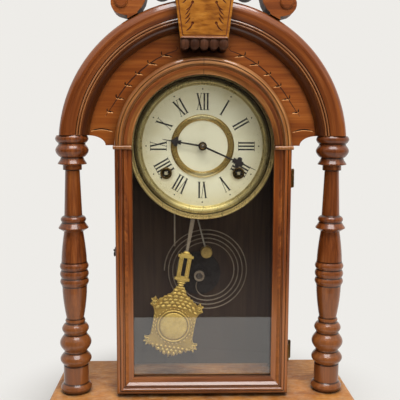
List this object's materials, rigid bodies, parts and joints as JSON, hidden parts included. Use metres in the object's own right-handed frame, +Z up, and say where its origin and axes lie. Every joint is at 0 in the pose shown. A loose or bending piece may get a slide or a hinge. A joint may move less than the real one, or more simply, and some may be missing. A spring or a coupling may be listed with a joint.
{
  "type": "mantel clock",
  "caption": "Wooden column-and-arch mantel clock with a glazed arched door, painted dial, pendulum, wound wheel trains and a coiled gong with hammer.",
  "frame": {"origin": "on the table under the middle of the base", "axes": "+Z up, front of the clock towards -Y, +X to the viewer's right"},
  "size_m": [0.32, 0.12, 0.4956],
  "materials": {
    "walnut_base": "waxed walnut, satin",
    "walnut_turned": "polished dark walnut",
    "walnut_case": "dark stained, flat",
    "walnut_panel": "satin varnish",
    "walnut_arch": "satin varnish",
    "walnut_burr": "varnished burr veneer",
    "walnut_door": "satin varnish",
    "door_glass": "old window glass",
    "dark_brass": "tarnished",
    "dial_paint": "aged cream paint",
    "dial_brass": "aged, polished",
    "hand_black": "blued black",
    "movement_brass": "aged",
    "steel": "plain",
    "cast_iron": "black japanned",
    "bob_brass": "stamped, aged gilt"
  },
  "bodies": {
    "case": {"base_board": "walnut_base", "base_skirt_front": "walnut_base", "base_skirt_sides": "walnut_base", "base_back_rail": "walnut_base", "column_left": "walnut_turned", "column_right": "walnut_turned", "case_sides": "walnut_case", "case_hood": "walnut_case", "back_board": "walnut_case", "front_panel": "walnut_panel", "arch_moulding": "walnut_arch", "keystone": "walnut_burr", "crest_scroll_left": "walnut_arch", "crest_scroll_right": "walnut_arch", "crest_cap": "walnut_arch", "hinge_case_leaves": "dark_brass", "hinge_pins": "dark_brass", "latch_screw": "dark_brass", "movement_seats": "walnut_case", "movement_back_plate": "movement_brass", "movement_front_plate": "movement_brass", "plate_pillars": "movement_brass", "movement_fasteners": "steel", "mainsprings": "steel", "dial_pan": "dial_paint", "dial_bezel": "dial_brass", "dial_centre_ring": "dial_brass", "winding_grommets": "dial_brass", "gong_stand": "cast_iron", "gong_coil": "steel"},
    "door": {"door_stile_left": "walnut_door", "door_stile_right": "walnut_door", "door_bottom_rail": "walnut_door", "door_arch": "walnut_door", "door_impost_beads": "walnut_door", "door_glass": "door_glass", "glass_retainer": "walnut_case", "hinge_door_leaves": "dark_brass", "latch_pin": "dark_brass"},
    "latch": {"latch_hook": "dark_brass"},
    "minute": {"minute_hand": "hand_black", "centre_arbor": "steel"},
    "hour": {"hour_hand": "hand_black", "hour_wheel": "movement_brass"},
    "minute_wheel": {"minute_wheel": "movement_brass"},
    "centre_wheel": {"centre_wheel": "movement_brass"},
    "time_great": {"time_great_wheel": "movement_brass"},
    "time_second": {"time_second_wheel": "movement_brass"},
    "time_third": {"time_third_wheel": "movement_brass"},
    "escape": {"escape_wheel": "movement_brass"},
    "time_winder": {"time_winding_arbor": "steel"},
    "strike_great": {"strike_great_wheel": "movement_brass"},
    "strike_second": {"strike_second_wheel": "movement_brass"},
    "strike_fly": {"strike_fly": "movement_brass"},
    "strike_winder": {"strike_winding_arbor": "steel"},
    "pendulum": {"pendulum_rod": "steel", "pendulum_bob": "bob_brass"},
    "verge": {"verge": "steel"},
    "hammer": {"hammer": "movement_brass"},
    "trip": {"trip_wire": "steel"}
  },
  "joints": [
    {"name": "door_hinge", "type": "hinge", "parent": "case", "child": "door", "pos_m": [0.092, -0.0273, 0.183], "axis": [0, 0, 1], "range_deg": [0, 100]},
    {"name": "latch_hook_turn", "type": "hinge", "parent": "case", "child": "latch", "pos_m": [-0.0899, -0.0191, 0.198], "axis": [-1, 0, 0], "range_deg": [0, 90]},
    {"name": "minute_hand_turn", "type": "hinge", "parent": "case", "child": "minute", "pos_m": [0, 0.02, 0.306], "axis": [0, 1, 0], "continuous": true},
    {"name": "hour_hand_turn", "type": "hinge", "parent": "case", "child": "hour", "pos_m": [0, 0.02, 0.306], "axis": [0, 1, 0], "continuous": true},
    {"name": "minute_wheel_turn", "type": "hinge", "parent": "case", "child": "minute_wheel", "pos_m": [-0.01579, 0.02, 0.30025], "axis": [0, 1, 0], "continuous": true},
    {"name": "centre_wheel_turn", "type": "hinge", "parent": "case", "child": "centre_wheel", "pos_m": [0, 0.02, 0.306], "axis": [0, 1, 0], "continuous": true},
    {"name": "time_great_turn", "type": "hinge", "parent": "case", "child": "time_great", "pos_m": [0.0384, 0.02, 0.2774], "axis": [0, 1, 0], "continuous": true},
    {"name": "time_second_turn", "type": "hinge", "parent": "case", "child": "time_second", "pos_m": [0.02323, 0.02, 0.29998], "axis": [0, 1, 0], "continuous": true},
    {"name": "time_third_turn", "type": "hinge", "parent": "case", "child": "time_third", "pos_m": [0.02893, 0.02, 0.32187], "axis": [0, 1, 0], "continuous": true},
    {"name": "escape_turn", "type": "hinge", "parent": "case", "child": "escape", "pos_m": [0.0113, 0.02, 0.3255], "axis": [0, 1, 0], "continuous": true},
    {"name": "time_wind", "type": "hinge", "parent": "case", "child": "time_winder", "pos_m": [0.0384, 0.02, 0.2774], "axis": [0, 1, 0], "continuous": true},
    {"name": "strike_great_turn", "type": "hinge", "parent": "case", "child": "strike_great", "pos_m": [-0.0384, 0.02, 0.2774], "axis": [0, 1, 0], "continuous": true},
    {"name": "strike_second_turn", "type": "hinge", "parent": "case", "child": "strike_second", "pos_m": [-0.03368, 0.02, 0.30419], "axis": [0, 1, 0], "continuous": true},
    {"name": "strike_fly_turn", "type": "hinge", "parent": "case", "child": "strike_fly", "pos_m": [-0.0269, 0.02, 0.32279], "axis": [0, 1, 0], "continuous": true},
    {"name": "strike_wind", "type": "hinge", "parent": "case", "child": "strike_winder", "pos_m": [-0.0384, 0.02, 0.2774], "axis": [0, 1, 0], "continuous": true},
    {"name": "pendulum_swing", "type": "hinge", "parent": "case", "child": "pendulum", "pos_m": [0.0113, 0.0016, 0.346], "axis": [0, -1, 0], "range_deg": [0, 17.6]},
    {"name": "verge_rock", "type": "hinge", "parent": "case", "child": "verge", "pos_m": [0.0113, 0.005, 0.346], "axis": [0, -1, 0], "range_deg": [0, 17.6]},
    {"name": "hammer_lift", "type": "hinge", "parent": "case", "child": "hammer", "pos_m": [-0.03, 0.0305, 0.242], "axis": [0, 1, 0], "range_deg": [0, 14]},
    {"name": "trip_lift", "type": "slide", "parent": "case", "child": "trip", "axis": [0, 0, 1], "range_m": [0, 0.006]}
  ],
  "couplings": [
    {"joint": "hour_hand_turn", "follows": "minute_hand_turn", "ratio": 0.083333},
    {"joint": "minute_wheel_turn", "follows": "minute_hand_turn", "ratio": -0.33333},
    {"joint": "time_second_turn", "follows": "time_third_turn", "ratio": -0.083333},
    {"joint": "time_great_turn", "follows": "time_third_turn", "ratio": 0.011111},
    {"joint": "centre_wheel_turn", "follows": "time_third_turn", "ratio": 0.09058},
    {"joint": "escape_turn", "follows": "time_third_turn", "ratio": -11},
    {"joint": "strike_great_turn", "follows": "strike_second_turn", "ratio": -0.13333},
    {"joint": "strike_fly_turn", "follows": "strike_second_turn", "ratio": -10},
    {"joint": "verge_rock", "follows": "pendulum_swing", "ratio": 1}
  ]
}
